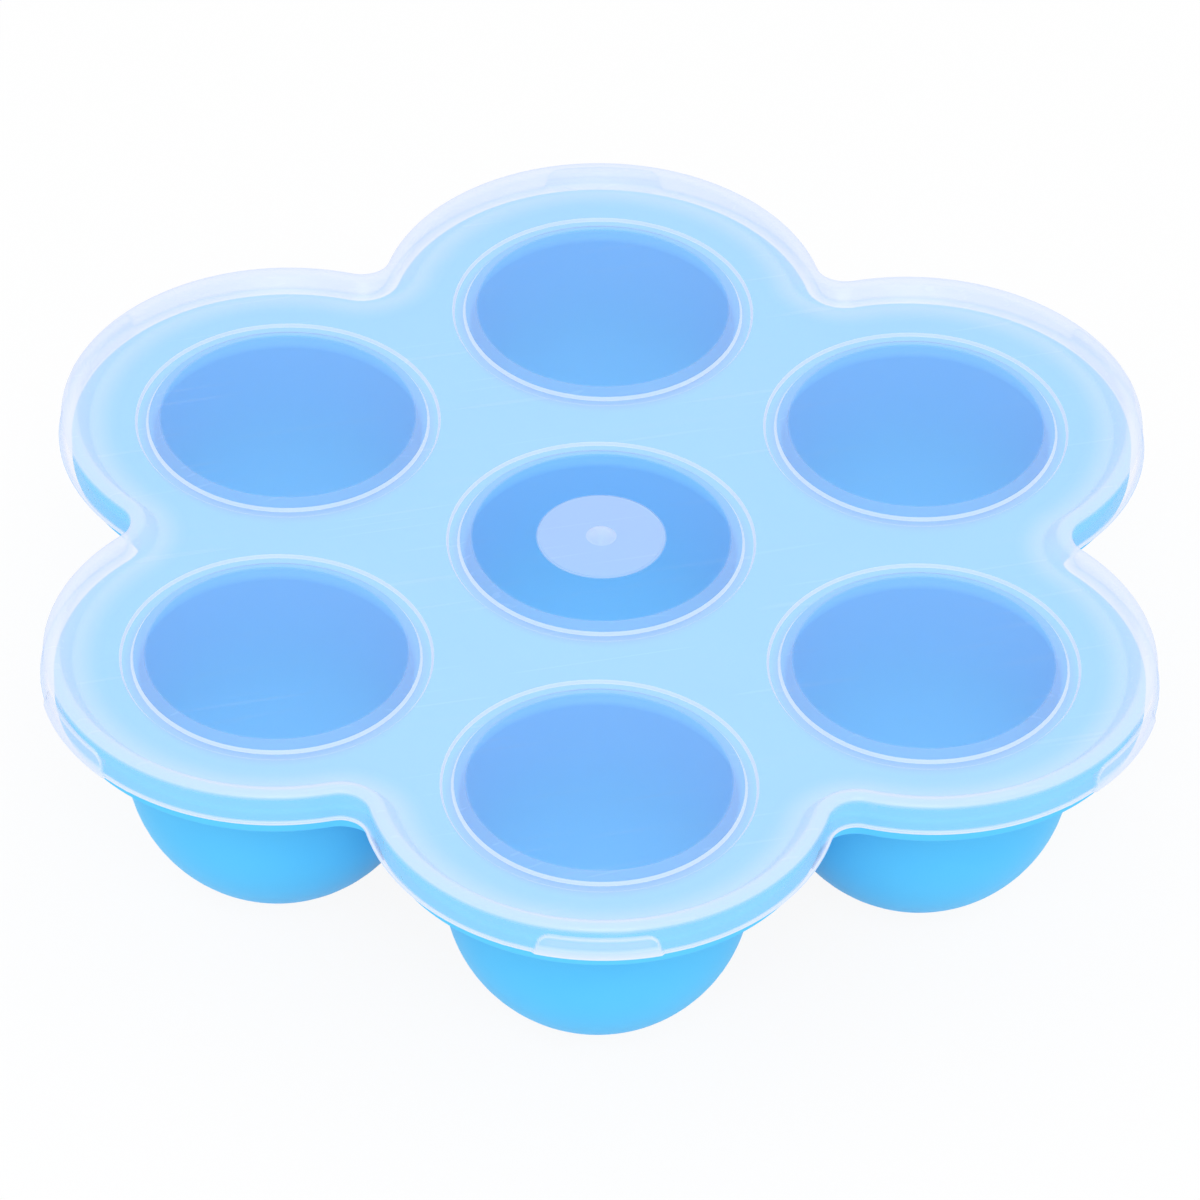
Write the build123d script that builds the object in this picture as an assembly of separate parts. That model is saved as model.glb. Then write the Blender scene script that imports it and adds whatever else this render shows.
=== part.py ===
"""Baby food freezer tray: a soft seven-cup tray with a translucent snap-on lid.

Millimetres, +Z up.  The origin is the middle of the underside: the plane that the cup feet
stand on, on the axis of the middle cup.  One lobe of the outline points to +Y.

Two mouldings:
  tray  silicone: seven bowls hung from a flower-shaped deck with a down-turned rim
  lid   polypropylene: a sunk plate with a sealing ring over each cup, a raised rounded border,
        a drafted skirt that ends in a bead, a clip pad on each lobe and a gate pad

The edges of both mouldings are sections carried round one flower outline, the tray's.
"""

import os
from math import asin, atan2, cos, degrees, radians, sin, sqrt, tan

from build123d import *

# ---------------------------------------------------------------- driving dimensions
CUPS_AROUND = 6  # cups round the middle one
CUP_PITCH = 64.4  # from the middle cup's axis to each of the others

# tray
CUP_RADIUS = 26.5  # outside, of the round bowl
CUP_WALL = 3.0
CUP_DRAFT = 0.5  # degrees, of the wall above the bowl
FOOT_RADIUS = 8.0  # flat that each cup stands on
DECK_HEIGHT = 45.4  # top face of the deck above the feet
DECK_THICKNESS = 2.4
DECK_WIDTH = 11.9  # from the bowl of an outer cup to the outside of the rim
VALLEY_RADIUS = 6.8  # outside of the rim, between two lobes
LIP_CHAMFER = 1.3  # inner edge of each mouth
NECK_FLARE = 1.6  # outside, where the cup widens into the deck
RIM_DEPTH = 4.7  # down-turned rim, from the top face of the deck
RIM_WALL = 2.2
RIM_CHAMFER = 0.8  # outer edges of the rim

# lid
LID_WALL = 1.2
LID_CLEARANCE = 0.6  # between the skirt and the tray's rim
LID_DEPTH = 6.4  # from the top of the border to the lower edge of the skirt
SKIRT_DRAFT = 2.0  # degrees
BEAD_HEIGHT = 0.9
BEAD_PROUD = 0.3  # beyond the skirt
BORDER_RISE = 3.3  # raised border above the plate
BORDER_WIDTH = 2.6  # from the outside of the skirt to the slope down to the plate
BORDER_RUN = 2.6  # width of that slope
BORDER_ROUND = 1.7  # shoulder, and top of the slope
SLOPE_FILLET = 1.2  # foot of the slope
SEAL_MARGIN = 0.16  # deck left between the mouth's chamfer and the sealing ring
SEAL_WIDTH = 1.6  # ring's face on the deck
SEAL_DEPTH = 0.6  # below the underside of the plate
SEAL_SLOPE = 0.35  # width of each side of the ring
CLIP_WIDTH = 22.0  # clip pad, along its lower edge
CLIP_TOP_WIDTH = 19.4
CLIP_DROP = 0.3  # from the shoulder's round down to the pad
CLIP_PROUD = 0.4  # beyond the skirt
CLIP_ROUND = 1.4  # upper corners
FINGER_LIP_HEIGHT = 2.1  # thicker lower part of the clip pad, where it is lifted
FINGER_LIP_PROUD = 0.7  # beyond the skirt
CATCH_WIDTH = 18.0  # rib inside each clip pad
CATCH_HEIGHT = 1.2
CATCH_CLEARANCE = 0.3  # between the rib and the tray's rim
GATE_PAD_RADIUS = 10.95
GATE_PAD_RISE = 0.3
GATE_RADIUS = 2.6
GATE_RISE = 1.3

JOIN_MARGIN = 0.8  # flat left beside a section, where it is joined to a flat sheet

# ---------------------------------------------------------------- derived sizes
# tray
BOWL_HEIGHT = sqrt(CUP_RADIUS**2 - FOOT_RADIUS**2)  # from the foot to the middle of the ball
DECK_UNDER = DECK_HEIGHT - DECK_THICKNESS
CUP_WIDENING = (DECK_HEIGHT - BOWL_HEIGHT) * tan(radians(CUP_DRAFT))
NECK_RADIUS = CUP_RADIUS + CUP_WIDENING
MOUTH_RADIUS = NECK_RADIUS - CUP_WALL
COLLAR_RADIUS = NECK_RADIUS + NECK_FLARE + JOIN_MARGIN
LOBE_RADIUS = CUP_RADIUS + DECK_WIDTH
# lid
SKIRT_X = -LID_CLEARANCE - LID_WALL  # outside of the skirt at the top, as seen from the rim
PLATE_UNDER = DECK_HEIGHT + SEAL_DEPTH  # the sealing rings stand on the deck
PLATE_TOP = PLATE_UNDER + LID_WALL
LID_TOP = PLATE_TOP + BORDER_RISE
LID_BOTTOM = LID_TOP - LID_DEPTH
SKIRT_FLARE = LID_DEPTH * tan(radians(SKIRT_DRAFT))
SLOPE_END_X = SKIRT_X + BORDER_WIDTH + BORDER_RUN
PLATE_START_X = SLOPE_END_X + JOIN_MARGIN
SEAL_INSIDE = MOUTH_RADIUS + LIP_CHAMFER + SEAL_MARGIN
SEAL_OUTSIDE = SEAL_INSIDE + SEAL_WIDTH
SEAL_PAD_RADIUS = SEAL_OUTSIDE + SEAL_SLOPE + JOIN_MARGIN
CLIP_HEIGHT = LID_DEPTH - BORDER_ROUND - CLIP_DROP

STEP_ANGLE = 360 / CUPS_AROUND
LOBE_ANGLES = [90 + STEP_ANGLE * i for i in range(CUPS_AROUND)]


def at_angle(distance, angle):
    """Point at a distance from the middle cup's axis and an angle in degrees from +X."""
    return Vector(distance * cos(radians(angle)), distance * sin(radians(angle)))


LOBE_CENTRES = [at_angle(CUP_PITCH, angle) for angle in LOBE_ANGLES]
CUP_PLACES = [Pos(centre) for centre in [Vector(0, 0)] + LOBE_CENTRES]


# ---------------------------------------------------------------- flower outline
def outline_arcs():
    """Arcs of the tray's outline, each as centre, radius, first angle, angle turned, is a lobe.

    A valley arc touches the lobe arcs on both sides of it, so its centre is one lobe radius
    and one valley radius away from the centres of both.
    """
    half_gap = CUP_PITCH * sin(radians(STEP_ANGLE / 2))
    reach = LOBE_RADIUS + VALLEY_RADIUS
    valley_distance = CUP_PITCH * cos(radians(STEP_ANGLE / 2)) + sqrt(reach**2 - half_gap**2)
    valley_half = degrees(asin(half_gap / reach))
    lobe_half = valley_half + STEP_ANGLE / 2
    arcs = []
    for angle, centre in zip(LOBE_ANGLES, LOBE_CENTRES):
        arcs.append((centre, LOBE_RADIUS, angle - lobe_half, 2 * lobe_half, True))
        middle = angle + STEP_ANGLE / 2
        valley = at_angle(valley_distance, middle)
        arcs.append((valley, VALLEY_RADIUS, middle + 180 - valley_half, 2 * valley_half, False))
    return arcs


def flower_sheet(inside, bottom, thickness, hole_radius):
    """Flat sheet whose edge lies a distance inside the outline, with a round hole at each cup."""
    edges = []
    for centre, radius, start, size, is_lobe in outline_arcs():
        reduced = radius - inside if is_lobe else radius + inside
        edges.append(CenterArc(centre, reduced, start, size))
    sheet = extrude(make_face(edges), thickness)
    hole = Pos(0, 0, thickness / 2) * Cylinder(hole_radius, thickness)
    return Pos(0, 0, bottom) * sheet.cut(*[place * hole for place in CUP_PLACES])


def carried_round(section):
    """A section carried round the outline; it stands in XZ, with X as the distance inside."""
    pieces = []
    for centre, radius, start, size, is_lobe in outline_arcs():
        facing = section.mirror(Plane.YZ) if is_lobe else section
        piece = revolve(Pos(radius, 0, 0) * facing, Axis.Z, size)
        pieces.append(Pos(centre) * Rot(0, 0, start) * piece)
    return pieces


def rounded_section(corners):
    """Closed section in the XZ plane; each corner is x, z and the radius of its round."""
    points = [(x, z) for x, z, _ in corners]
    rounds = [corner_round for _, _, corner_round in corners]
    return Plane.XZ * make_face(FilletPolyline(*points, radius=rounds, close=True))


# ---------------------------------------------------------------- tray
def make_cup():
    """One cup on its own axis, with the ring of deck round its mouth."""
    inner_radius = CUP_RADIUS - CUP_WALL
    outer_angle = degrees(asin(BOWL_HEIGHT / CUP_RADIUS))
    inner_angle = degrees(asin((BOWL_HEIGHT - CUP_WALL) / inner_radius))
    ball_centre = (0, BOWL_HEIGHT)
    outer_bowl = CenterArc(ball_centre, CUP_RADIUS, -outer_angle, outer_angle)
    inner_bowl = CenterArc(ball_centre, inner_radius, -inner_angle, inner_angle)
    wall = Polyline(
        outer_bowl @ 1,
        (NECK_RADIUS, DECK_UNDER - NECK_FLARE),
        (NECK_RADIUS + NECK_FLARE, DECK_UNDER),
        (COLLAR_RADIUS, DECK_UNDER),
        (COLLAR_RADIUS, DECK_HEIGHT),
        (MOUTH_RADIUS + LIP_CHAMFER, DECK_HEIGHT),
        (MOUTH_RADIUS, DECK_HEIGHT - LIP_CHAMFER),
        inner_bowl @ 1,
    )
    middle = Polyline(inner_bowl @ 0, (0, CUP_WALL), (0, 0), outer_bowl @ 0)
    return revolve(Plane.XZ * make_face([outer_bowl, wall, inner_bowl, middle]), Axis.Z)


def make_tray():
    """Seven cups, the deck between them and the down-turned rim."""
    rim_bottom = DECK_HEIGHT - RIM_DEPTH
    deck_start = RIM_WALL + JOIN_MARGIN
    rim = Plane.XZ * make_face(
        Polyline(
            (RIM_CHAMFER, rim_bottom),
            (0, rim_bottom + RIM_CHAMFER),
            (0, DECK_HEIGHT - RIM_CHAMFER),
            (RIM_CHAMFER, DECK_HEIGHT),
            (deck_start, DECK_HEIGHT),
            (deck_start, DECK_UNDER),
            (RIM_WALL, DECK_UNDER),
            (RIM_WALL, rim_bottom),
            close=True,
        )
    )
    deck = flower_sheet(deck_start, DECK_UNDER, DECK_THICKNESS, COLLAR_RADIUS)
    cup = make_cup()
    return deck.fuse(*carried_round(rim), *[place * cup for place in CUP_PLACES]).clean()


# ---------------------------------------------------------------- lid
def make_edge():
    """Raised border and skirt of the lid, as pieces round the outline."""
    slant = tan(radians(SKIRT_DRAFT))
    bottom_x = SKIRT_X - SKIRT_FLARE
    border_under = LID_TOP - LID_WALL
    border_end_x = SKIRT_X + BORDER_WIDTH
    step_back = LID_WALL * tan(atan2(BORDER_RISE, BORDER_RUN) / 2)
    edge = rounded_section(
        [
            (bottom_x - BEAD_PROUD, LID_BOTTOM, 0),
            (bottom_x - BEAD_PROUD, LID_BOTTOM + BEAD_HEIGHT / 2, 0),
            (bottom_x + BEAD_HEIGHT * slant, LID_BOTTOM + BEAD_HEIGHT, 0),
            (SKIRT_X, LID_TOP, BORDER_ROUND),
            (border_end_x, LID_TOP, BORDER_ROUND),
            (SLOPE_END_X, PLATE_TOP, SLOPE_FILLET),
            (PLATE_START_X, PLATE_TOP, 0),
            (PLATE_START_X, PLATE_UNDER, 0),
            (SLOPE_END_X - step_back, PLATE_UNDER, 0),
            (border_end_x - step_back, border_under, 0),
            (SKIRT_X + LID_WALL - LID_WALL * slant, border_under, 0),
            (bottom_x + LID_WALL, LID_BOTTOM, 0),
        ]
    )
    return carried_round(edge)


def make_seal_pad():
    """Round part of the plate over one cup, with its sealing ring."""
    radii = [SEAL_OUTSIDE + SEAL_SLOPE, SEAL_OUTSIDE, SEAL_INSIDE, SEAL_INSIDE - SEAL_SLOPE]
    drops = [0, SEAL_DEPTH, SEAL_DEPTH, 0]
    upper = [(radius, PLATE_TOP - drop) for radius, drop in zip(radii, drops)]
    lower = [(radius, PLATE_UNDER - drop) for radius, drop in zip(radii, drops)]
    section = Polyline(
        (SEAL_PAD_RADIUS, PLATE_TOP),
        *upper,
        (0, PLATE_TOP),
        (0, PLATE_UNDER),
        *reversed(lower),
        (SEAL_PAD_RADIUS, PLATE_UNDER),
        close=True,
    )
    return revolve(Plane.XZ * make_face(section), Axis.Z)


def make_clip():
    """Clip pad with the catch rib inside it, on a lobe that points to +X from its own axis."""
    skirt_bottom = LOBE_RADIUS - SKIRT_X + SKIRT_FLARE
    slant = tan(radians(SKIRT_DRAFT))
    lip_step = FINGER_LIP_PROUD - CLIP_PROUD
    heights = [0, FINGER_LIP_HEIGHT - lip_step, FINGER_LIP_HEIGHT, CLIP_HEIGHT, CLIP_HEIGHT, 0]
    prouds = [FINGER_LIP_PROUD] * 2 + [CLIP_PROUD] * 2 + [-LID_WALL / 2] * 2
    corners = [
        (skirt_bottom + proud - slant * height, LID_BOTTOM + height)
        for height, proud in zip(heights, prouds)
    ]
    band = Plane.XZ * make_face(Polyline(*corners, close=True))
    face = FilletPolyline(
        (-CLIP_WIDTH / 2, LID_BOTTOM),
        (CLIP_WIDTH / 2, LID_BOTTOM),
        (CLIP_TOP_WIDTH / 2, LID_BOTTOM + CLIP_HEIGHT),
        (-CLIP_TOP_WIDTH / 2, LID_BOTTOM + CLIP_HEIGHT),
        radius=[0, 0, CLIP_ROUND, CLIP_ROUND],
        close=True,
    )
    outline = extrude(Plane.YZ * make_face(face), skirt_bottom + CLIP_WIDTH)
    pad = revolve(band, Axis.Z) & outline

    rim_side = LOBE_RADIUS + CATCH_CLEARANCE
    catch = Cylinder(skirt_bottom - LID_WALL / 2, CATCH_HEIGHT) - Cylinder(rim_side, CATCH_HEIGHT)
    catch &= Pos(rim_side, 0, 0) * Box(rim_side, CATCH_WIDTH, CATCH_HEIGHT)
    return pad + Pos(0, 0, LID_BOTTOM + CATCH_HEIGHT) * catch


def make_gate():
    """Round pad in the middle of the plate, with the domed gate mark."""
    pad_top = PLATE_TOP + GATE_PAD_RISE
    pad = Pos(0, 0, pad_top - GATE_PAD_RISE / 2) * Cylinder(GATE_PAD_RADIUS, GATE_PAD_RISE)
    ball_radius = (GATE_RADIUS**2 + GATE_RISE**2) / (2 * GATE_RISE)
    ball = Pos(0, 0, pad_top + GATE_RISE - ball_radius) * Sphere(ball_radius)
    return pad + (ball & Pos(0, 0, pad_top + GATE_RISE / 2) * Cylinder(GATE_RADIUS, GATE_RISE))


def make_lid():
    """Plate, sealing rings, border, skirt, clips and gate as one moulding."""
    plate = flower_sheet(PLATE_START_X, PLATE_UNDER, LID_WALL, SEAL_PAD_RADIUS)
    seal_pad = make_seal_pad()
    clip = make_clip()
    clips = [Pos(c) * Rot(0, 0, a) * clip for c, a in zip(LOBE_CENTRES, LOBE_ANGLES)]
    pads = [place * seal_pad for place in CUP_PLACES]
    return plate.fuse(*make_edge(), *pads, make_gate()).fuse(*clips).clean()


# ---------------------------------------------------------------- export
if __name__ == "__main__":
    os.makedirs("parts", exist_ok=True)
    export_step(make_tray(), "parts/tray.step")
    export_step(make_lid(), "parts/lid.step")
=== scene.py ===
"""Looks of the freezer tray: soft blue silicone cups under a frosted polypropylene lid.

Metres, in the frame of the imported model: +Z up, origin on the middle cup's axis in the plane of
the cup feet, one lobe of the flower outline towards +Y.
"""

from math import asin, atan2, cos, pi, radians, sin, sqrt, tan

import bpy
from mathutils import Matrix, Vector


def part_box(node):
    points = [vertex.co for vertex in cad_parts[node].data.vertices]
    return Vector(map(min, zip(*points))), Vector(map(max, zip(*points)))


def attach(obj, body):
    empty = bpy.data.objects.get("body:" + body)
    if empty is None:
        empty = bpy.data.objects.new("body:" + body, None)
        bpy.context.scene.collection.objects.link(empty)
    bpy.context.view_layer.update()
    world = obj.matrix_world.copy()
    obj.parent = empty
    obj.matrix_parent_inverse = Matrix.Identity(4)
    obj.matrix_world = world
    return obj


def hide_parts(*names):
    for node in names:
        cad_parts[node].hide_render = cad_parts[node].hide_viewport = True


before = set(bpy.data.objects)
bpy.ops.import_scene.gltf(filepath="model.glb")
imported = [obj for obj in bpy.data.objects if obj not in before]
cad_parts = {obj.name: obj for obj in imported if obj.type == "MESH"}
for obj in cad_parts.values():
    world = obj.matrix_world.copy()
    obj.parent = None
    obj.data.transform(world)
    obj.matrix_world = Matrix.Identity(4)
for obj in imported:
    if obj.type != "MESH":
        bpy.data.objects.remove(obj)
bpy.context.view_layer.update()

MM = 0.001

# ---------------------------------------------------------------- sizes read from the frame
DECK_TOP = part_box("tray")[1].z
LID_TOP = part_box("lid")[1].z
LID_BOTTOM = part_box("lid")[0].z

# ---------------------------------------------------------------- sizes of the tray
CUPS_AROUND = 6  # cups round the middle one
CUP_PITCH = 64.4 * MM  # from the middle cup's axis to each of the others
LOBE_RADIUS = 38.4 * MM  # outside of the rim, about an outer cup's axis
VALLEY_RADIUS = 6.8 * MM  # outside of the rim, between two lobes
CUP_RADIUS = 26.5 * MM  # outside, of the round bowl
CUP_WALL = 3.0 * MM
CUP_DRAFT = radians(0.5)
CUP_FLOOR_EDGE = 0.75 * MM  # the ball inside a cup ends this far above its flat floor
FOOT_RADIUS = 8.0 * MM  # flat that each cup stands on
LIP_ROUND = 1.3 * MM  # inner edge of each mouth
LIP_DEPTH = 3.0 * MM  # painted shade darkens the pigment over the lip and this far down inside the cup
NECK_ROUND = 1.6 * MM  # outside, where the cup widens into the deck
DECK_THICKNESS = 2.4 * MM
RIM_DEPTH = 4.7 * MM  # down-turned rim, from the top face of the deck
RIM_WALL = 2.2 * MM
RIM_ROUND = 0.9 * MM  # upper edge of the rim
RIM_FOOT_ROUND = 0.3 * MM  # lower edges of the rim
RIM_ROOT_ROUND = 0.8 * MM  # inside, where the rim meets the deck
FLAT_MARGIN = 0.6 * MM  # flat left beside a section, where it is joined to a flat sheet

# ---------------------------------------------------------------- sizes of the lid
LID_WALL = 1.2 * MM
LID_CLEARANCE = 0.6 * MM  # between the skirt and the tray's rim
SKIRT_DRAFT = radians(2.0)
SKIRT_FOOT_ROUND = 0.25 * MM  # inside, at the lower edge
BEAD_RADIUS = 0.45 * MM
BEAD_PROUD = 0.3 * MM  # beyond the skirt
BORDER_WIDTH = 2.6 * MM  # from the outside of the skirt to the slope down to the plate
BORDER_RUN = 2.6 * MM  # width of that slope
BORDER_ROUND = 1.7 * MM  # shoulder, and top of the slope
BORDER_FADE = 5.0 * MM  # the plate grows whiter over this width towards its border
UNDER_ROUND = 0.5 * MM  # under the border
SLOPE_FILLET = 1.2 * MM  # foot of the slope
SEAL_MARGIN = 0.16 * MM  # deck left between the lip's round and the sealing ring
SEAL_WIDTH = 1.6 * MM  # ring's face on the deck
SEAL_DEPTH = 0.6 * MM  # below the underside of the plate
SEAL_SLOPE = 0.35 * MM  # width of each side of the ring
SEAL_ROUND = 0.22 * MM
SEAL_CLEAR = 0.05 * MM  # keeps the sealing ring just off the deck
WINDOW_RADIUS = 23.0 * MM  # top of the low raised panel over each cup, left clearer than the plate as painted shade
WINDOW_RISE = 0.8 * MM
WINDOW_EDGE = 0.3 * MM
GATE_PAD_RADIUS = 10.95 * MM  # round pad over the middle cup
GATE_PAD_RISE = 0.15 * MM
GATE_RADIUS = 2.6 * MM  # domed mark in the middle of the pad
GATE_RISE = 1.25 * MM
CLIP_WIDTH = 22.0 * MM  # clip pad, along its lower edge
CLIP_TOP_WIDTH = 19.4 * MM
CLIP_HEIGHT = 4.4 * MM
CLIP_PROUD = 0.4 * MM  # beyond the skirt
CLIP_ROUND = 1.4 * MM  # upper corners
CLIP_EDGE = 0.35 * MM  # width of the soft step round a clip pad
FINGER_LIP_HEIGHT = 2.1 * MM  # thicker lower part of the clip pad, where it is lifted
FINGER_LIP_PROUD = 0.7 * MM  # beyond the skirt
CATCH_WIDTH = 18.0 * MM  # rib inside each clip pad, which snaps past the tray's rim
CATCH_HEIGHT = 1.2 * MM  # its middle is as far above the skirt's edge
CATCH_CLEARANCE = 0.3 * MM  # between the rib and the rim
CATCH_EDGE = 0.2 * MM
WITNESS_TURN = radians(23)  # faint line that the mould left on the skirt, each side of a clip
WITNESS_WIDTH = 0.5 * MM
WITNESS_PROUD = 0.05 * MM

# ---------------------------------------------------------------- sizes worked out from them
STEP_ANGLE = 2 * pi / CUPS_AROUND
BOWL_HEIGHT = sqrt(CUP_RADIUS**2 - FOOT_RADIUS**2)  # from the foot to the middle of the ball
NECK_RADIUS = CUP_RADIUS + (DECK_TOP - BOWL_HEIGHT) * tan(CUP_DRAFT)
MOUTH_RADIUS = NECK_RADIUS - CUP_WALL
COLLAR_RADIUS = NECK_RADIUS + NECK_ROUND + FLAT_MARGIN
DECK_UNDER = DECK_TOP - DECK_THICKNESS
RIM_BOTTOM = DECK_TOP - RIM_DEPTH
PLATE_UNDER = DECK_TOP + SEAL_DEPTH
PLATE_TOP = PLATE_UNDER + LID_WALL
SEAL_INSIDE = MOUTH_RADIUS + LIP_ROUND + SEAL_MARGIN
SEAL_OUTSIDE = SEAL_INSIDE + SEAL_WIDTH
# distances inside the outside of the tray's rim, so those of the skirt are negative
SKIRT_X = -LID_CLEARANCE - LID_WALL  # outside of the skirt at the top
SKIRT_MIDDLE = -LID_CLEARANCE - LID_WALL / 2
SLOPE_END = SKIRT_X + BORDER_WIDTH + BORDER_RUN

# ---------------------------------------------------------------- steps that the curves take
ROUND_STEP = radians(12)
SEAL_ROUND_STEP = radians(16)
CUP_STEPS = 96
BALL_STEPS = 18
LOBE_STEPS = 60  # of the tray's rim
VALLEY_STEPS = 14
SKIRT_STEPS = 16  # down the skirt
BEAD_STEPS = 10
BEAD_START = radians(50)  # the bead leaves the skirt at this slant
DOME_STEPS = 8
WITNESS_ZONE = radians(1.2)  # stretch of skirt that holds a witness line, divided finely
PAD_SIDE_START = radians(16.8)  # stretch that holds the slanting side of a clip pad
PAD_SIDE_ZONE = radians(5.6)

MERGE_DISTANCE = 0.002 * MM
LEVEL_TOLERANCE = 0.01 * MM
SEAM_TOLERANCE = radians(0.05)  # points on the seam between a lobe and a valley are the lobe's

# ---------------------------------------------------------------- milkiness of the lid
# how much white the wall scatters: 0 is clear and 1 is solid
# the plate is painted whiter over the deck, for the light the deck throws back up, and the windows
# clearer over the shaded inside of the cups
WINDOW_SHADE_MILK = 0.16
MIDDLE_WINDOW_SHADE_MILK = 0.115
PANEL_EDGE_MILK = 0.3
PLATE_LIGHT_MILK = 0.4
GATE_PAD_MILK = 0.46
# the domed gate mark is whiter, as a painted highlight
DOME_HIGHLIGHT_MILK = 0.62
# painted highlights on the slopes of the sealing rings and the rounded edges of the clip pads
EDGE_HIGHLIGHT_MILK = 0.8
BORDER_MILK = 0.66
SLOPE_MILK = 0.57
SKIRT_MILK = 0.22
CLIP_MILK = 0.42
FINGER_LIP_MILK = 0.68
CATCH_MILK = 0.15
BEAD_MILK = 0.9
INNER_MILK = 0.04  # smooth face towards the tray


# ---------------------------------------------------------------- profiles
def rounded(corners, turn_per_step=ROUND_STEP):
    """Points of a profile; each corner is x, z and the radius of its round."""
    points = [Vector(corners[0][:2])]
    for before, corner, after in zip(corners, corners[1:], corners[2:]):
        here = Vector(corner[:2])
        radius = corner[2]
        arriving = (here - Vector(before[:2])).normalized()
        leaving = (Vector(after[:2]) - here).normalized()
        turn = arriving.angle_signed(leaving)
        if radius == 0 or abs(turn) < 1e-6:
            points.append(here)
            continue
        start = here - arriving * radius * tan(abs(turn) / 2)
        side = 1 if turn > 0 else -1
        to_centre = Vector((arriving.y, -arriving.x)) * side
        steps = max(2, round(abs(turn) / turn_per_step))
        for step in range(steps + 1):
            spoke = -to_centre * radius
            spoke.rotate(Matrix.Rotation(-turn * step / steps, 2))
            points.append(start + to_centre * radius + spoke)
    points.append(Vector(corners[-1][:2]))
    return points


def divided(start, end, count):
    """Points that divide a straight stretch evenly, without its first point."""
    start = Vector(start)
    return [start.lerp(Vector(end), (i + 1) / count) for i in range(count)]


def soft_step(distance, width):
    """1 where the distance is under minus half the width, 0 where it is over half the width."""
    share = min(1.0, max(0.0, 0.5 - distance / width))
    return share * share * (3 - 2 * share)


def blend(plain, other, share):
    """A value that goes from plain to other with the share."""
    return plain + (other - plain) * share


# ---------------------------------------------------------------- modelling by hand
def edit_only(piece):
    """Opens one piece in edit mode with no other piece selected."""
    bpy.ops.object.select_all(action="DESELECT")
    piece.select_set(True)
    bpy.context.view_layer.objects.active = piece
    bpy.ops.object.mode_set(mode="EDIT")


def draw_line(name, points):
    """A new piece that is a line through the points; it is left in edit mode, all selected."""
    bpy.ops.object.select_all(action="DESELECT")
    bpy.ops.mesh.primitive_plane_add(size=MM)
    piece = bpy.context.object
    piece.name = name
    bpy.ops.object.mode_set(mode="EDIT")
    bpy.ops.mesh.merge(type="CENTER")
    bpy.ops.transform.translate(value=points[0])
    for start, end in zip(points, points[1:]):
        bpy.ops.mesh.extrude_vertices_move(TRANSFORM_OT_translate={"value": end - start})
    bpy.ops.mesh.select_all(action="SELECT")
    return piece


def spin(centre, turn, steps):
    """Carries what is selected round a vertical axis; its far end is then selected."""
    bpy.ops.mesh.spin(steps=steps, angle=-turn, center=centre, axis=(0, 0, 1))


def join(pieces, name):
    """Joins pieces into one and merges the points where they meet."""
    bpy.ops.object.select_all(action="DESELECT")
    for piece in pieces:
        piece.select_set(True)
    bpy.context.view_layer.objects.active = pieces[0]
    bpy.ops.object.join()
    whole = bpy.context.object
    whole.name = name
    edit_only(whole)
    bpy.ops.mesh.select_all(action="SELECT")
    bpy.ops.mesh.remove_doubles(threshold=MERGE_DISTANCE)
    bpy.ops.object.mode_set(mode="OBJECT")
    return whole


def copied(piece, placement):
    """A copy of a piece with its own mesh, moved by a matrix."""
    copy = piece.copy()
    copy.data = piece.data.copy()
    copy.data.transform(placement)
    bpy.context.scene.collection.objects.link(copy)
    return copy


def set_values(piece, name, value_at):
    """Stores a value at each vertex of a piece, for its material to read."""
    values = piece.data.attributes.new(name, "FLOAT", "POINT")
    for vertex, entry in zip(piece.data.vertices, values.data):
        entry.value = value_at(vertex)


def fill_level(piece, height):
    """Fills the flat area between the open edges at one height."""
    edit_only(piece)
    bpy.ops.mesh.select_mode(type="EDGE")
    bpy.ops.mesh.select_all(action="DESELECT")
    bpy.ops.mesh.select_non_manifold(
        extend=False, use_wire=False, use_boundary=True, use_multi_face=False,
        use_non_contiguous=False, use_verts=False,
    )
    bpy.ops.object.mode_set(mode="OBJECT")
    mesh = piece.data
    for edge in mesh.edges:
        ends = [mesh.vertices[i].co.z for i in edge.vertices]
        if max(abs(z - height) for z in ends) > LEVEL_TOLERANCE:
            edge.select = False
    bpy.ops.object.mode_set(mode="EDIT")
    bpy.ops.mesh.fill(use_beauty=True)
    bpy.ops.mesh.select_mode(type="VERT")
    bpy.ops.object.mode_set(mode="OBJECT")


def face_outwards(piece):
    """Turns the faces of a closed piece outwards and shades it smooth."""
    edit_only(piece)
    bpy.ops.mesh.select_all(action="SELECT")
    bpy.ops.mesh.normals_make_consistent(inside=False)
    bpy.ops.object.mode_set(mode="OBJECT")
    bpy.ops.object.shade_smooth()


# ---------------------------------------------------------------- flower outline
def at_angle(distance, angle, height=0.0):
    """A place at a distance from the Z axis, at an angle from +X."""
    return Vector((distance * cos(angle), distance * sin(angle), height))


HALF_GAP = CUP_PITCH * sin(STEP_ANGLE / 2)  # half the way between two lobes' axes
REACH = LOBE_RADIUS + VALLEY_RADIUS  # from a lobe's axis to that of the valley beside it
VALLEY_HALF = asin(HALF_GAP / REACH)  # half the angle that a valley arc turns through
LOBE_HALF = VALLEY_HALF + STEP_ANGLE / 2
VALLEY_DISTANCE = CUP_PITCH * cos(STEP_ANGLE / 2) + sqrt(REACH**2 - HALF_GAP**2)
LOBE_CENTRES = [at_angle(CUP_PITCH, pi / 2 + STEP_ANGLE * i) for i in range(CUPS_AROUND)]
CUP_CENTRES = [Vector((0, 0, 0))] + LOBE_CENTRES
FIRST_LOBE = LOBE_CENTRES[0]
FIRST_VALLEY = at_angle(VALLEY_DISTANCE, pi / 2 + STEP_ANGLE / 2)


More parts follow.
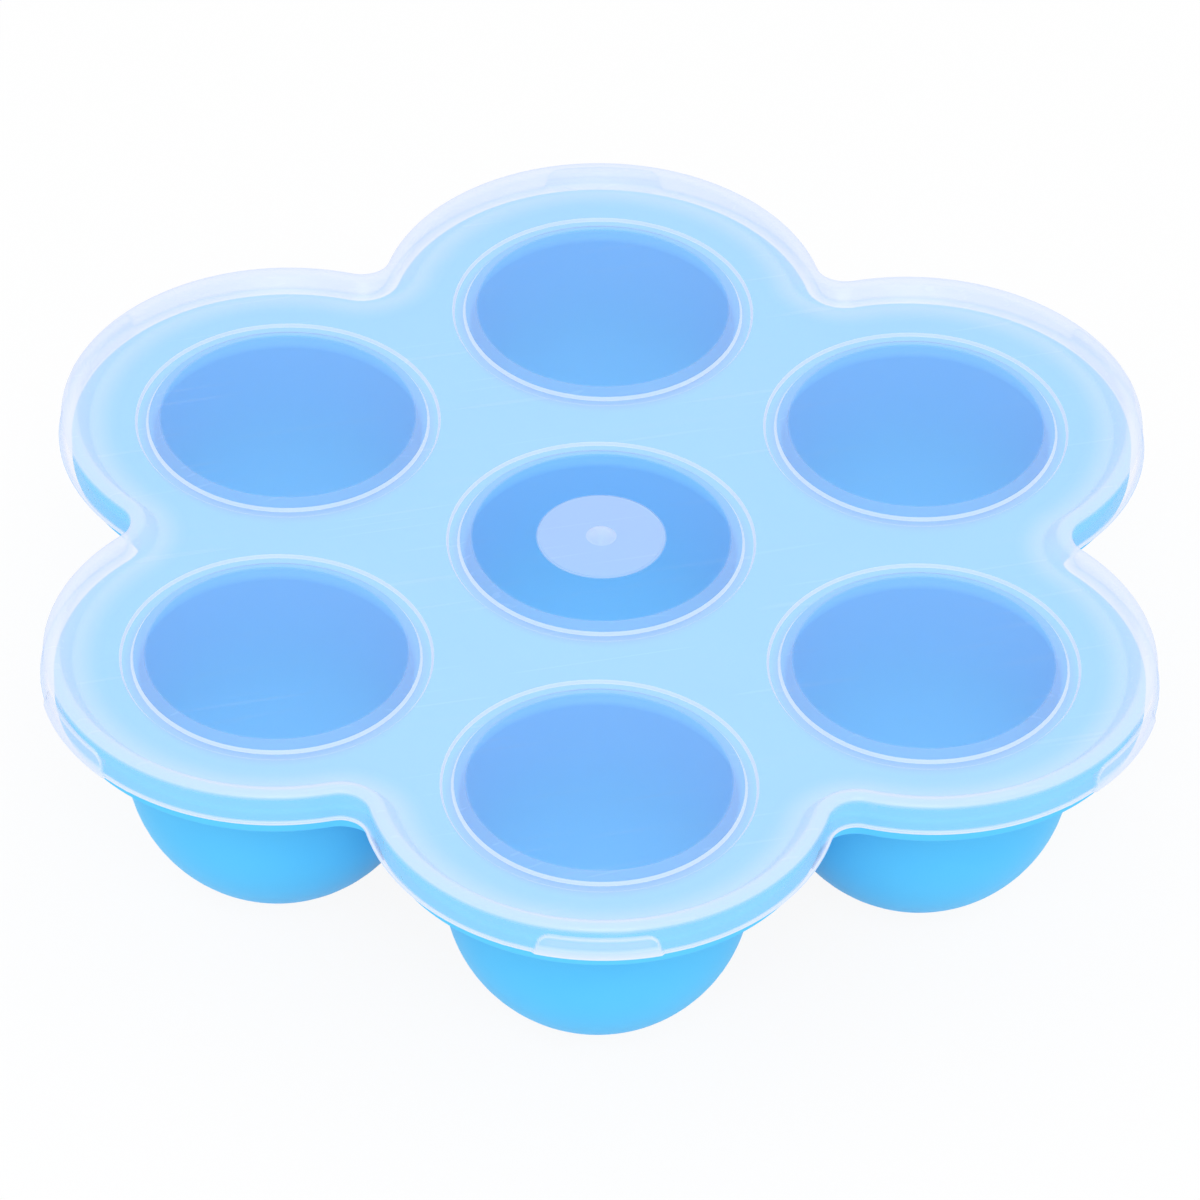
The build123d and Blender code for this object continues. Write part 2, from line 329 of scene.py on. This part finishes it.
def swept_sector(name, profile, turns):
    """A profile swept over the first lobe, towards +Y, and the valley after it.

    The profile's x is the distance inside the tray's rim, and each of the turns that the lobe is
    divided into is an angle and its number of steps.
    """
    start = pi / 2 - LOBE_HALF
    line = [FIRST_LOBE + at_angle(LOBE_RADIUS - x, start, z) for x, z in profile]
    sector = draw_line(name, line)
    for turn, steps in turns:
        spin(FIRST_LOBE, turn, steps)
    spin(FIRST_VALLEY, -2 * VALLEY_HALF, VALLEY_STEPS)
    bpy.ops.object.mode_set(mode="OBJECT")
    return sector


def all_round(sector):
    """The sector and its turned copies, joined into one closed ring."""
    turns = [Matrix.Rotation(STEP_ANGLE * i, 4, "Z") for i in range(1, CUPS_AROUND)]
    return join([sector] + [copied(sector, turn) for turn in turns], sector.name)


def turned_about_axis(name, profile):
    """A profile turned once round the Z axis; its x is the distance from the axis."""
    piece = draw_line(name, [Vector((x, 0, z)) for x, z in profile])
    spin((0, 0, 0), 2 * pi, CUP_STEPS)
    bpy.ops.object.mode_set(mode="OBJECT")
    return piece


def at_cups(piece, centres):
    """Copies of a piece at the given cup axes; the piece itself is removed."""
    copies = [copied(piece, Matrix.Translation(centre)) for centre in centres]
    bpy.data.objects.remove(piece)
    return copies


# ---------------------------------------------------------------- tray
def ball_arc(radius, end_height):
    """Points down a ball about the bowl's middle, from its widest place to a height."""
    turn = asin((BOWL_HEIGHT - end_height) / radius)
    swings = [turn * (i + 1) / BALL_STEPS for i in range(BALL_STEPS)]
    return [Vector((radius * cos(a), BOWL_HEIGHT - radius * sin(a))) for a in swings]


def flat_disc(radius, height, shares):
    """Points on a flat disc, at shares of its radius, and then close to the axis and on it."""
    return [Vector((radius * share, height)) for share in (*shares, 0.02, 0)]


def lip_painted_shade(vertex):
    """Painted shade: 1 on the lip of a cup, fading to 0 below it on the inside and under the
    sealing ring.
    """
    outwards = soft_step(vertex.co.xy.length - SEAL_INSIDE - SEAL_WIDTH / 2, SEAL_WIDTH)
    downwards = soft_step(DECK_TOP - vertex.co.z - LIP_DEPTH / 2, LIP_DEPTH)
    return outwards * downwards


def inner_painted_light(vertex):
    """Painted light: 1 deep inside a cup, standing in for light that comes through the wall, and 0
    at its lip.
    """
    return soft_step(vertex.co.z - DECK_TOP + LIP_DEPTH, LIP_DEPTH)


def make_cup_inside():
    """Inside of one cup on the Z axis, from the deck round its mouth down to its flat floor."""
    ball_radius = CUP_RADIUS - CUP_WALL
    floor_radius = sqrt(ball_radius**2 - (BOWL_HEIGHT - CUP_WALL) ** 2)
    profile = rounded(
        [
            (COLLAR_RADIUS, DECK_TOP, 0),
            (SEAL_OUTSIDE, DECK_TOP, 0),
            (SEAL_OUTSIDE - SEAL_WIDTH / 2, DECK_TOP, 0),
            (MOUTH_RADIUS, DECK_TOP, LIP_ROUND),
            (ball_radius, BOWL_HEIGHT, 0),
        ]
    )
    profile += ball_arc(ball_radius, CUP_WALL + CUP_FLOOR_EDGE)
    profile += flat_disc(floor_radius, CUP_WALL, [0.85, 0.7])
    piece = turned_about_axis("cup_inside", profile)
    set_values(piece, "lip_painted_shade", lip_painted_shade)
    set_values(piece, "inner_painted_light", inner_painted_light)
    return piece


def make_cup_outside():
    """Outside of one cup on the Z axis, from under the deck down to its foot."""
    profile = rounded(
        [
            (COLLAR_RADIUS, DECK_UNDER, 0),
            (NECK_RADIUS, DECK_UNDER, NECK_ROUND),
            (CUP_RADIUS, BOWL_HEIGHT, 0),
        ]
    )
    profile += ball_arc(CUP_RADIUS, 0)
    profile += flat_disc(FOOT_RADIUS, 0, [0.95])
    return turned_about_axis("cup_outside", profile)


def make_rim():
    """Down-turned rim all round the deck."""
    deck_start = RIM_WALL + RIM_ROOT_ROUND + FLAT_MARGIN
    profile = rounded(
        [
            (deck_start, DECK_TOP, 0),
            (0, DECK_TOP, RIM_ROUND),
            (0, RIM_BOTTOM, RIM_FOOT_ROUND),
            (RIM_WALL, RIM_BOTTOM, RIM_FOOT_ROUND),
            (RIM_WALL, DECK_UNDER, RIM_ROOT_ROUND),
            (deck_start, DECK_UNDER, 0),
        ]
    )
    return all_round(swept_sector("tray_rim", profile, [(2 * LOBE_HALF, LOBE_STEPS)]))


def make_tray():
    """Cups and rim joined by the two faces of the deck."""
    cups = at_cups(make_cup_inside(), CUP_CENTRES) + at_cups(make_cup_outside(), CUP_CENTRES)
    tray = join([make_rim()] + cups, "silicone_tray")
    fill_level(tray, DECK_TOP)
    fill_level(tray, DECK_UNDER)
    face_outwards(tray)
    return tray


# ---------------------------------------------------------------- lid
def lid_edge_profile():
    """From the plate up over the border, down the skirt, round the bead and back inside."""
    slant = tan(SKIRT_DRAFT)
    bottom_x = SKIRT_X - (LID_TOP - LID_BOTTOM) * slant
    border_end = SKIRT_X + BORDER_WIDTH
    border_under = LID_TOP - LID_WALL
    step_back = LID_WALL * tan(atan2(LID_TOP - PLATE_TOP, BORDER_RUN) / 2)
    plate_start = SLOPE_END + BORDER_FADE
    skirt_foot = (bottom_x + 2 * BEAD_RADIUS * slant, LID_BOTTOM + 2 * BEAD_RADIUS)
    border = rounded(
        [
            *[(plate_start - BORDER_FADE * share, PLATE_TOP, 0) for share in (0, 0.25, 0.5, 0.75)],
            (SLOPE_END, PLATE_TOP, SLOPE_FILLET),
            (border_end, LID_TOP, BORDER_ROUND),
            (SKIRT_X, LID_TOP, BORDER_ROUND),
            (*skirt_foot, 0),
        ]
    )
    shoulder_end = border[-2]
    skirt = divided(shoulder_end, skirt_foot, SKIRT_STEPS)
    bead_centre = Vector((bottom_x - BEAD_PROUD + BEAD_RADIUS, LID_BOTTOM + BEAD_RADIUS))
    bead_turn = BEAD_START + pi / 2
    bead = [
        bead_centre + BEAD_RADIUS * Vector((-cos(a), sin(a)))
        for a in [BEAD_START - bead_turn * i / BEAD_STEPS for i in range(BEAD_STEPS + 1)]
    ]
    catch_levels = [
        CATCH_HEIGHT * share + edge
        for share in (0.5, 1.5)
        for edge in (-CATCH_EDGE / 2, CATCH_EDGE / 2)
    ]
    inside = rounded(
        [
            (bead[-1].x, LID_BOTTOM, 0),
            (bottom_x + LID_WALL, LID_BOTTOM, SKIRT_FOOT_ROUND),
            *[(bottom_x + LID_WALL + up * slant, LID_BOTTOM + up, 0) for up in catch_levels],
            (SKIRT_X + LID_WALL - LID_WALL * slant, border_under, UNDER_ROUND),
            (border_end - step_back, border_under, UNDER_ROUND),
            (SLOPE_END - step_back, PLATE_UNDER, SLOPE_FILLET),
            (plate_start, PLATE_UNDER, 0),
        ]
    )
    return border[:-1] + skirt + bead + inside[1:]


def cap_profile(level, clear):
    """One face of the plate over a cup, from outside the sealing ring to the window.

    The ring's face stops short of its full depth by the clear distance.
    """
    radii = [SEAL_OUTSIDE + SEAL_SLOPE, SEAL_OUTSIDE, SEAL_INSIDE, SEAL_INSIDE - SEAL_SLOPE]
    drops = [0, SEAL_DEPTH - clear, SEAL_DEPTH - clear, 0]
    corners = [(radii[0] + FLAT_MARGIN, level, 0), (radii[0] + SEAL_SLOPE, level, 0)]
    corners += [(radius, level - drop, SEAL_ROUND) for radius, drop in zip(radii, drops)]
    corners += [(WINDOW_RADIUS, level + WINDOW_RISE, WINDOW_EDGE)]
    corners += [(WINDOW_RADIUS - FLAT_MARGIN, level + WINDOW_RISE, 0)]
    return rounded(corners, SEAL_ROUND_STEP)


def gate_profile():
    """From the window over the gate pad and its domed gate mark, to the axis."""
    window_top = PLATE_TOP + WINDOW_RISE
    pad_top = window_top + GATE_PAD_RISE
    ball = (GATE_RADIUS**2 + GATE_RISE**2) / (2 * GATE_RISE)
    turn = asin(GATE_RADIUS / ball)
    pad = rounded(
        [
            (GATE_PAD_RADIUS + FLAT_MARGIN, window_top, 0),
            (GATE_PAD_RADIUS + GATE_PAD_RISE / 2, window_top, GATE_PAD_RISE),
            (GATE_PAD_RADIUS - GATE_PAD_RISE / 2, pad_top, GATE_PAD_RISE),
            (GATE_RADIUS + GATE_PAD_RISE, pad_top, 0),
            (GATE_RADIUS, pad_top, 0),
        ]
    )
    dome = [
        Vector((ball * sin(a), pad_top + GATE_RISE - ball + ball * cos(a)))
        for a in [turn * (1 - (i + 1) / DOME_STEPS) for i in range(DOME_STEPS)]
    ]
    return pad + dome


# ---------------------------------------------------------------- clip pads and catch ribs
def place_on_skirt(place):
    """Distance along the first lobe from its middle, height over the skirt's edge, radius."""
    spoke = place - FIRST_LOBE
    radius = spoke.xy.length
    return atan2(spoke.x, spoke.y) * radius, place.z - LID_BOTTOM, radius


def clip_share(along, up):
    """How far a point of the skirt belongs to the clip pad: 0 outside it, 1 inside."""
    lean = (CLIP_WIDTH - CLIP_TOP_WIDTH) / 2 / CLIP_HEIGHT
    side = (abs(along) - CLIP_WIDTH / 2 + lean * up + CLIP_ROUND) / sqrt(1 + lean * lean)
    above = up - CLIP_HEIGHT + CLIP_ROUND
    if side > 0 and above > 0:
        outside = sqrt(side * side + above * above) - CLIP_ROUND
    else:
        outside = max(side, above) - CLIP_ROUND
    return soft_step(outside, CLIP_EDGE)


def catch_share(along, up):
    """How far a point inside the skirt belongs to the catch rib: 0 outside it, 1 inside."""
    level = soft_step(abs(up - CATCH_HEIGHT) - CATCH_HEIGHT / 2, CATCH_EDGE)
    return level * soft_step(abs(along) - CATCH_WIDTH / 2, CLIP_EDGE)


def skirt_radius(up):
    """Radius of the skirt's plain inner face, about the lobe's axis, at a height over its edge."""
    return LOBE_RADIUS + LID_CLEARANCE + (LID_TOP - LID_BOTTOM - up) * tan(SKIRT_DRAFT)


def clip_offset(along, up, radius):
    """How far a point outside the skirt stands out to make the clip pad or a witness line."""
    proud = radius - skirt_radius(up) - LID_WALL
    if proud < -LID_WALL / 4 or up > LID_TOP - LID_BOTTOM - BORDER_ROUND:
        return 0
    lip = soft_step(up - FINGER_LIP_HEIGHT + CLIP_EDGE / 2, CLIP_EDGE)
    already_out = proud if up > BEAD_RADIUS else BEAD_PROUD  # the bead's underside stays round
    offset = blend(CLIP_PROUD, FINGER_LIP_PROUD, lip) - already_out
    off_line = abs(abs(along) - WITNESS_TURN * radius)
    witness = soft_step(off_line - WITNESS_WIDTH / 2, WITNESS_WIDTH)
    return max(offset * clip_share(along, up), WITNESS_PROUD * witness)


def catch_offset(along, up, radius):
    """How far a point inside the skirt stands in to make the catch rib."""
    if radius > skirt_radius(up) + LID_WALL / 4:
        return 0
    return (radius - LOBE_RADIUS - CATCH_CLEARANCE) * catch_share(along, up)


def shift_skirt(sector, name, offset_at, reach):
    """Moves points near the middle of the first lobe by their offset: out, or in if reach < 0."""
    group = sector.vertex_groups.new(name=name)
    for vertex in sector.data.vertices:
        offset = offset_at(*place_on_skirt(vertex.co))
        if offset > 0:
            group.add([vertex.index], offset / abs(reach), "REPLACE")
    displace = sector.modifiers.new(name, "DISPLACE")
    displace.vertex_group = group.name
    displace.direction = "Y"
    displace.strength = reach
    displace.mid_level = 0.0
    bpy.context.view_layer.objects.active = sector
    bpy.ops.object.modifier_apply(modifier=displace.name)


# ---------------------------------------------------------------- where the lid is milky
def distance_inside(place):
    """How far a point of the first sector lies inside the outline of the tray's rim."""
    spoke = place - FIRST_LOBE
    if abs(atan2(spoke.x, spoke.y)) < LOBE_HALF + SEAM_TOLERANCE:
        return LOBE_RADIUS - spoke.xy.length
    return (place - FIRST_VALLEY).xy.length - VALLEY_RADIUS


def is_inner_face(place, inside):
    """Whether a point of the lid's edge lies on the face that is turned towards the tray."""
    down_slope = max(0, inside - SLOPE_END + BORDER_RUN) * (LID_TOP - PLATE_TOP) / BORDER_RUN
    outer_height = max(PLATE_TOP, LID_TOP - down_slope)
    return place.z < outer_height - LID_WALL / 2 and inside > SKIRT_MIDDLE


def edge_milk(vertex):
    """Whitest along the border and the bead, clear on the skirt, fading towards the plate."""
    inside = distance_inside(vertex.co)
    along, up, _ = place_on_skirt(vertex.co)
    if is_inner_face(vertex.co, inside):
        return blend(INNER_MILK, CATCH_MILK, catch_share(along, up))
    if up < BEAD_RADIUS:
        return BEAD_MILK
    if inside < SKIRT_MIDDLE:  # the shoulder loses its white where it is as steep as 60 degrees
        shoulder = soft_step(0.5 - vertex.normal.z, 0.3)
        return clip_milk(along, up, blend(SKIRT_MILK, BORDER_MILK, shoulder))
    fade = soft_step(inside - SLOPE_END - BORDER_FADE / 2, BORDER_FADE)
    rise = soft_step(inside - SLOPE_END + BORDER_RUN - SLOPE_FILLET / 2, SLOPE_FILLET)
    return blend(blend(PLATE_LIGHT_MILK, SLOPE_MILK, fade), BORDER_MILK, rise)


def clip_milk(along, up, plain):
    """The clip pad is whiter than the skirt, and its finger lip more so; its rounded edge is
    whitest, as a painted highlight.
    """
    share = clip_share(along, up)
    face = share * clip_share(along * (1 + CLIP_EDGE / CLIP_WIDTH), up + CLIP_EDGE)
    pad = blend(CLIP_MILK, FINGER_LIP_MILK, soft_step(up - FINGER_LIP_HEIGHT, CLIP_EDGE))
    # the pad's rounded edge gets a painted highlight
    return blend(plain, pad, share) + (EDGE_HIGHLIGHT_MILK - pad) * (share - face)


def cap_milk(vertex, window_shade_milk=WINDOW_SHADE_MILK):
    """Whitest on the slopes of the sealing ring, as painted highlights; whiter over the deck and
    clear over the cup, as painted light and shade.
    """
    radius = vertex.co.xy.length
    for slope in (SEAL_INSIDE - SEAL_SLOPE / 2, SEAL_OUTSIDE + SEAL_SLOPE / 2):
        if abs(radius - slope) < SEAL_SLOPE * 0.6:  # the slope and a little of its rounds, a painted highlight
            return EDGE_HIGHLIGHT_MILK
    # painted light: the plate whiter over the deck
    if radius > SEAL_INSIDE:
        return PLATE_LIGHT_MILK
    # painted shade: the window left clearer over the cup
    return PANEL_EDGE_MILK if radius > WINDOW_RADIUS - WINDOW_EDGE / 2 else window_shade_milk


def middle_cap_milk(vertex):
    """Milky on the gate pad, and clearer round it than the windows of the other cups; the dome is
    whiter still, as a painted highlight.
    """
    radius = vertex.co.xy.length
    if radius < GATE_RADIUS * 1.01:  # the dome with its edge, whitest as a painted highlight
        return DOME_HIGHLIGHT_MILK
    if radius < GATE_PAD_RADIUS + GATE_PAD_RISE:
        return GATE_PAD_MILK
    return cap_milk(vertex, MIDDLE_WINDOW_SHADE_MILK)


# ---------------------------------------------------------------- lid in one piece
def make_lid_edge():
    """Border, skirt, bead, clip pads and catch ribs all round the lid."""
    side = [
        (LOBE_HALF - WITNESS_TURN - WITNESS_ZONE / 2, 17),
        (WITNESS_ZONE, 4),
        (WITNESS_TURN - WITNESS_ZONE / 2 - PAD_SIDE_START, 2),
        (PAD_SIDE_ZONE, 14),
    ]
    pad_face = (2 * (PAD_SIDE_START - PAD_SIDE_ZONE), 10)
    sector = swept_sector("lid_edge", lid_edge_profile(), side + [pad_face] + side[::-1])
    shift_skirt(sector, "clip_pad", clip_offset, FINGER_LIP_PROUD)
    shift_skirt(sector, "catch_rib", catch_offset, -LID_WALL / 2)
    set_values(sector, "milkiness", edge_milk)
    return all_round(sector)


def make_lid():
    """Edge and caps joined by the two faces of the plate."""
    edge = make_lid_edge()
    upper = cap_profile(PLATE_TOP, 0)
    lower = cap_profile(PLATE_UNDER, SEAL_CLEAR)
    window_top = flat_disc(GATE_PAD_RADIUS, PLATE_TOP + WINDOW_RISE, [1])
    window_under = flat_disc(GATE_PAD_RADIUS, PLATE_UNDER + WINDOW_RISE, [1])
    cap = turned_about_axis("cap_top", upper + window_top)
    middle_cap = turned_about_axis("middle_cap_top", upper + gate_profile())
    under_cap = turned_about_axis("cap_under", lower + window_under)
    set_values(cap, "milkiness", cap_milk)
    set_values(middle_cap, "milkiness", middle_cap_milk)
    set_values(under_cap, "milkiness", lambda vertex: INNER_MILK)
    caps = at_cups(cap, LOBE_CENTRES) + [middle_cap] + at_cups(under_cap, CUP_CENTRES)
    lid = join([edge] + caps, "frosted_lid")
    fill_level(lid, PLATE_TOP)
    fill_level(lid, PLATE_UNDER)
    face_outwards(lid)
    return lid


# ---------------------------------------------------------------- material nodes
def new_material(name):
    """A material with its nodes, its links and its shader."""
    material = bpy.data.materials.new(name)
    material.use_nodes = True
    nodes = material.node_tree.nodes
    return material, nodes, material.node_tree.links, nodes["Principled BSDF"]


def value_node(nodes, links, operation, *inputs):
    """A Math node fed by sockets or plain numbers; returns its output."""
    node = nodes.new("ShaderNodeMath")
    node.operation = operation
    for socket, value in zip(node.inputs, inputs):
        if isinstance(value, (int, float)):
            socket.default_value = value
        else:
            links.new(value, socket)
    return node.outputs[0]


def attribute(nodes, name):
    """A value stored at the vertices of a piece."""
    node = nodes.new("ShaderNodeAttribute")
    node.attribute_name = name
    return node.outputs["Fac"]


def mixed_colour(nodes, links, share, plain, other):
    """A colour that goes from plain to other with the share; either may be a socket."""
    mix = nodes.new("ShaderNodeMix")
    mix.data_type = "RGBA"
    links.new(share, mix.inputs["Factor"])
    colour_inputs = [socket for socket in mix.inputs if socket.type == "RGBA"]
    for socket, colour in zip(colour_inputs, (plain, other)):
        if isinstance(colour, tuple):
            socket.default_value = colour
        else:
            links.new(colour, socket)
    return next(socket for socket in mix.outputs if socket.type == "RGBA")


def noise_node(nodes, links, place, scale, detail):
    """A Noise node at a place, with its scale fed by a socket; returns its output."""
    noise = nodes.new("ShaderNodeTexNoise")
    noise.inputs["Detail"].default_value = detail
    links.new(place, noise.inputs["Vector"])
    links.new(scale, noise.inputs["Scale"])
    return noise.outputs["Fac"]


def grain_bump(nodes, links, shader, height, strength, depth):
    """Roughens a shader's surface with a height pattern of some depth."""
    bump = nodes.new("ShaderNodeBump")
    bump.inputs["Strength"].default_value = strength
    bump.inputs["Distance"].default_value = depth
    links.new(height, bump.inputs["Height"])
    links.new(bump.outputs[0], shader.inputs["Normal"])


# ---------------------------------------------------------------- surface of both mouldings
HAIRLINE_TURN = radians(14)
HAIRLINE_STRETCH = 40
HAIRLINE_START = 0.74  # only the peaks of the noise above this show as hairlines
HAIRLINE_FULL = 0.8


def moulded_surface():
    """What both mouldings show: fine grain, broad cloudy patches and faint straight hairlines."""
    group = bpy.data.node_groups.new("moulded_surface", "ShaderNodeTree")
    for name in ("Grain Scale", "Patch Scale", "Hairline Scale"):
        group.interface.new_socket(name, in_out="INPUT", socket_type="NodeSocketFloat")
    for name in ("Grain", "Patches", "Hairlines"):
        group.interface.new_socket(name, in_out="OUTPUT", socket_type="NodeSocketFloat")
    nodes, links = group.nodes, group.links
    given = nodes.new("NodeGroupInput").outputs
    wanted = nodes.new("NodeGroupOutput").inputs
    place = nodes.new("ShaderNodeTexCoord").outputs["Object"]
    links.new(noise_node(nodes, links, place, given["Grain Scale"], 2), wanted["Grain"])
    links.new(noise_node(nodes, links, place, given["Patch Scale"], 3), wanted["Patches"])
    stretch = nodes.new("ShaderNodeMapping")
    stretch.vector_type = "TEXTURE"
    stretch.inputs["Rotation"].default_value = (0, 0, HAIRLINE_TURN)
    stretch.inputs["Scale"].default_value = (HAIRLINE_STRETCH, 1, 1)
    links.new(place, stretch.inputs["Vector"])
    streaks = noise_node(nodes, links, stretch.outputs[0], given["Hairline Scale"], 0)
    thin = nodes.new("ShaderNodeMapRange")
    thin.inputs["From Min"].default_value = HAIRLINE_START
    thin.inputs["From Max"].default_value = HAIRLINE_FULL
    links.new(streaks, thin.inputs["Value"])
    links.new(thin.outputs[0], wanted["Hairlines"])
    return group


def placed_surface(nodes, group, grain_scale, patch_scale, hairline_scale):
    """The shared surface effect in one material, with that material's own values."""
    node = nodes.new("ShaderNodeGroup")
    node.node_tree = group
    node.inputs["Grain Scale"].default_value = grain_scale
    node.inputs["Patch Scale"].default_value = patch_scale
    node.inputs["Hairline Scale"].default_value = hairline_scale
    return node.outputs


# ---------------------------------------------------------------- silicone
SKY_BLUE = (0.09, 0.57, 1.0, 1)
SKY_BLUE_PATCH = (0.12, 0.61, 1.0, 1)
# lighter pigment painted deep inside the cups, as light through the wall
SKY_BLUE_INSIDE_LIT = (0.1, 0.67, 1.0, 1)
# darker pigment painted over the lips as shade
SKY_BLUE_LIP_SHADE = (0.09, 0.45, 0.95, 1)


def silicone(group):
    """Satin silicone with a fine matt grain and slightly uneven pigment, with painted shade over
    the cup lips and painted light deep inside the cups.
    """
    material, nodes, links, shader = new_material("moulded_silicone")
    surface = placed_surface(nodes, group, grain_scale=2600, patch_scale=45, hairline_scale=700)
    pigment = mixed_colour(nodes, links, surface["Patches"], SKY_BLUE, SKY_BLUE_PATCH)
    # painted light deep inside the cups
    inside = mixed_colour(nodes, links, attribute(nodes, "inner_painted_light"), pigment, SKY_BLUE_INSIDE_LIT)
    # painted shade over the lips of the cups
    lip_shaded = mixed_colour(nodes, links, attribute(nodes, "lip_painted_shade"), inside, SKY_BLUE_LIP_SHADE)
    links.new(lip_shaded, shader.inputs["Base Color"])
    satin = value_node(nodes, links, "MULTIPLY_ADD", surface["Patches"], 0.2, 0.36)
    links.new(satin, shader.inputs["Roughness"])
    shader.inputs["IOR"].default_value = 1.41
    shader.inputs["Specular IOR Level"].default_value = 0.25
    grain_bump(nodes, links, shader, surface["Grain"], strength=0.25, depth=0.06 * MM)
    return material


# ---------------------------------------------------------------- polypropylene
COOL_CLEAR = (0.6, 0.69, 0.98, 1)
COOL_WHITE = (0.76, 0.84, 1.0, 1)
PASSING_LIGHT = 0.95  # share of the milk that light passes on its way to what lies below


def polypropylene(group):
    """Milky plastic, as clear as its milkiness says, and whiter where it is seen at a slant."""
    material, nodes, links, shader = new_material("frosted_polypropylene")
    surface = placed_surface(nodes, group, grain_scale=3400, patch_scale=30, hairline_scale=900)
    frosted = value_node(nodes, links, "MULTIPLY_ADD", surface["Patches"], 0.16, 0.27)
    links.new(frosted, shader.inputs["Roughness"])
    shader.inputs["IOR"].default_value = 1.5
    grain_bump(nodes, links, shader, surface["Grain"], strength=0.12, depth=0.04 * MM)
    milk = attribute(nodes, "milkiness")
    body = mixed_colour(nodes, links, milk, COOL_CLEAR, COOL_WHITE)
    links.new(body, shader.inputs["Base Color"])
    slant = nodes.new("ShaderNodeLayerWeight")
    slant.inputs["Blend"].default_value = 0.3
    thicker = value_node(nodes, links, "MULTIPLY_ADD", slant.outputs["Facing"], 0.6, 0.96)
    cloudy = value_node(nodes, links, "MULTIPLY_ADD", surface["Patches"], 0.08, thicker)
    milky = value_node(nodes, links, "MULTIPLY", milk, cloudy)
    scratched = value_node(nodes, links, "MULTIPLY_ADD", surface["Hairlines"], 0.04, milky)
    path = nodes.new("ShaderNodeLightPath").outputs
    passing = value_node(nodes, links, "MAXIMUM", path["Is Diffuse Ray"], path["Is Shadow Ray"])
    kept = value_node(nodes, links, "MULTIPLY_ADD", passing, -PASSING_LIGHT, 1.0)
    alpha = value_node(nodes, links, "MULTIPLY", scratched, kept)
    alpha.node.use_clamp = True
    links.new(alpha, shader.inputs["Alpha"])
    return material


# ---------------------------------------------------------------- studio
FLOOR_CLEAR = 0.05 * MM  # keeps the floor just off the cup feet
FLOOR_WHITE = 0.92  # share of plain white in what is seen of the floor, so its shadow stays


def white_to_camera(nodes, links, lit, share):
    """Mixes plain white into a shader, for what is seen of it directly, in gloss or through."""
    path = nodes.new("ShaderNodeLightPath").outputs
    direct = value_node(nodes, links, "MAXIMUM", path["Is Camera Ray"], path["Is Glossy Ray"])
    seen = value_node(nodes, links, "MAXIMUM", direct, path["Is Transmission Ray"])
    scaled = value_node(nodes, links, "MULTIPLY", seen, share)
    white = nodes.new("ShaderNodeEmission")
    mix = nodes.new("ShaderNodeMixShader")
    links.new(scaled, mix.inputs["Fac"])
    links.new(lit, mix.inputs[1])
    links.new(white.outputs[0], mix.inputs[2])
    return mix.outputs[0]


def make_floor():
    """A white floor just under the cup feet, which can be looked through from below."""
    bpy.ops.object.select_all(action="DESELECT")
    bpy.ops.mesh.primitive_circle_add(
        vertices=64, radius=3.0, fill_type="NGON", location=(0, 0, -FLOOR_CLEAR)
    )
    floor = bpy.context.object
    floor.name = "floor"
    material, nodes, links, shader = new_material("white_sweep")
    shader.inputs["Base Color"].default_value = (0.9, 0.9, 0.9, 1)
    shader.inputs["Roughness"].default_value = 0.9
    clear = nodes.new("ShaderNodeBsdfTransparent")
    side = nodes.new("ShaderNodeNewGeometry")
    from_below = nodes.new("ShaderNodeMixShader")
    links.new(side.outputs["Backfacing"], from_below.inputs["Fac"])
    lit = shader.outputs[0]
    links.new(white_to_camera(nodes, links, lit, FLOOR_WHITE), from_below.inputs[1])
    links.new(clear.outputs[0], from_below.inputs[2])
    links.new(from_below.outputs[0], nodes["Material Output"].inputs["Surface"])
    floor.data.materials.append(material)


def make_world():
    """Even soft light from all round, with a white background."""
    world = bpy.data.worlds.new("studio")
    bpy.context.scene.world = world
    world.use_nodes = True
    nodes = world.node_tree.nodes
    links = world.node_tree.links
    light = nodes["Background"]
    light.inputs["Color"].default_value = (1, 1, 1, 1)
    light.inputs["Strength"].default_value = 0.96
    output = nodes["World Output"]
    links.new(white_to_camera(nodes, links, light.outputs[0], 1.0), output.inputs["Surface"])


def make_softbox():
    """A large lamp in front of the tray and above it."""
    place = Vector((0.05, -1.1, 1.3))
    bpy.ops.object.light_add(type="AREA", location=place)
    lamp = bpy.context.object
    lamp.name = "softbox"
    lamp.data.size = 0.6
    lamp.data.energy = 5.5
    lamp.visible_camera = False
    lamp.rotation_euler = (-place).to_track_quat("-Z", "Y").to_euler()


def make_camera():
    """Looks down at the tray from the front, from far off with a long lens."""
    azimuth = radians(-0.49)
    elevation = radians(40.38)
    roll = radians(1.15)
    distance = 1.6064
    aim = Vector((0, 0, 48.24 * MM))
    beside = 0.22 * MM  # the view is this far off the aim, to the side and down
    below = 11.28 * MM
    back = Vector((sin(azimuth) * cos(elevation), -cos(azimuth) * cos(elevation), sin(elevation)))
    level = Vector((cos(azimuth), sin(azimuth), 0))
    across = cos(roll) * level + sin(roll) * back.cross(level)
    upright = back.cross(across)
    data = bpy.data.cameras.new("camera")
    data.lens = 275.54
    data.sensor_width = 36.0
    data.clip_end = 20.0
    camera = bpy.data.objects.new("camera", data)
    bpy.context.scene.collection.objects.link(camera)
    place = aim + back * distance - across * beside - upright * below
    axes = Matrix((across, upright, back)).transposed().to_4x4()
    camera.matrix_world = Matrix.Translation(place) @ axes
    bpy.context.scene.camera = camera


# ---------------------------------------------------------------- scene
bpy.context.scene.view_settings.view_transform = "Standard"
make_camera()
make_world()
make_floor()
make_softbox()

surface_effect = moulded_surface()

tray = make_tray()
tray.data.materials.append(silicone(surface_effect))
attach(tray, "tray")
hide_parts("tray")

lid = make_lid()
lid.data.materials.append(polypropylene(surface_effect))
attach(lid, "lid")
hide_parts("lid")
